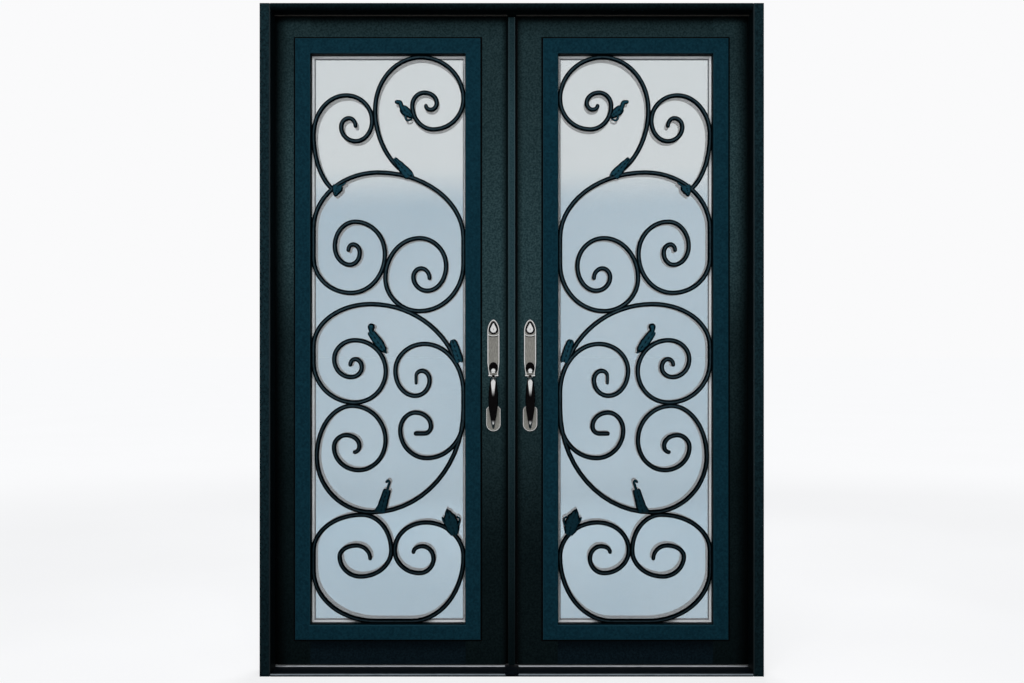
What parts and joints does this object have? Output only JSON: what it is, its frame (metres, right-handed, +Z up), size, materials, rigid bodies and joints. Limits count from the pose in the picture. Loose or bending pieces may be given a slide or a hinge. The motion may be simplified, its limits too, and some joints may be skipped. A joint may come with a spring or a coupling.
{
  "type": "double wrought iron entry door",
  "caption": "Double inswing entry door of steel tube in a steel frame, with curled iron scrollwork and cast leaves before tall glass, and entry handles",
  "frame": {"origin": "the middle of the frame's depth and width, at the underside of the frame", "axes": "+Z up; the outer side with the scrollwork faces -Y and the leaves open towards +Y; +X is to the right seen from outside"},
  "size_m": [1.86, 0.206, 2.4845],
  "materials": {
    "frame_paint": "dark teal black paint, fine texture",
    "leaf_paint": "dark grey green paint, orange peel texture",
    "moulding_paint": "dark teal paint, smooth satin",
    "scroll_iron": "forged bar, black teal paint",
    "glass": "clear sealed glass, reflective",
    "satin_nickel": "satin nickel",
    "dark_grip": "dark polished nickel",
    "sill_bronze": "dark anodised",
    "sill_trim": "bright mill finish"
  },
  "bodies": {
    "frame": {"left_jamb": "frame_paint", "right_jamb": "frame_paint", "head": "frame_paint", "threshold": "sill_bronze", "threshold_nosing": "sill_trim", "threshold_bead": "sill_trim", "left_frame_hinges": "frame_paint", "right_frame_hinges": "frame_paint"},
    "left_leaf": {"left_hinge_stile": "leaf_paint", "left_meeting_stile": "leaf_paint", "left_top_rail": "leaf_paint", "left_bottom_rail": "leaf_paint", "left_moulding": "moulding_paint", "left_glazing_frame": "moulding_paint", "left_glass": "glass", "left_scrollwork": "scroll_iron", "left_cast_leaves": "scroll_iron", "left_handle_plates": "satin_nickel", "left_handle_grip": "dark_grip", "left_deadbolt": "satin_nickel", "left_inside_lever_set": "satin_nickel", "left_leaf_hinges": "frame_paint", "astragal": "moulding_paint"},
    "left_thumb": {"left_thumb_latch": "satin_nickel"},
    "right_leaf": {"right_hinge_stile": "leaf_paint", "right_meeting_stile": "leaf_paint", "right_top_rail": "leaf_paint", "right_bottom_rail": "leaf_paint", "right_moulding": "moulding_paint", "right_glazing_frame": "moulding_paint", "right_glass": "glass", "right_scrollwork": "scroll_iron", "right_cast_leaves": "scroll_iron", "right_handle_plates": "satin_nickel", "right_handle_grip": "dark_grip", "right_deadbolt": "satin_nickel", "right_inside_lever_set": "satin_nickel", "right_leaf_hinges": "frame_paint"},
    "right_thumb": {"right_thumb_latch": "satin_nickel"}
  },
  "joints": [
    {"name": "left_leaf_swing", "type": "hinge", "parent": "frame", "child": "left_leaf", "pos_m": [-0.904, 0.085, 1.2423], "axis": [0, 0, 1], "range_deg": [0, 100]},
    {"name": "left_thumb_press", "type": "hinge", "parent": "left_leaf", "child": "left_thumb", "pos_m": [-0.069, 0.01, 1.134], "axis": [1, 0, 0], "range_deg": [0, 18], "stiffness_Nm_per_rad": 0.6, "springref_deg": -14.32},
    {"name": "right_leaf_swing", "type": "hinge", "parent": "frame", "child": "right_leaf", "pos_m": [0.904, 0.085, 1.2423], "axis": [0, 0, -1], "range_deg": [0, 100]},
    {"name": "right_thumb_press", "type": "hinge", "parent": "right_leaf", "child": "right_thumb", "pos_m": [0.069, 0.01, 1.134], "axis": [1, 0, 0], "range_deg": [0, 18], "stiffness_Nm_per_rad": 0.6, "springref_deg": -14.32}
  ]
}
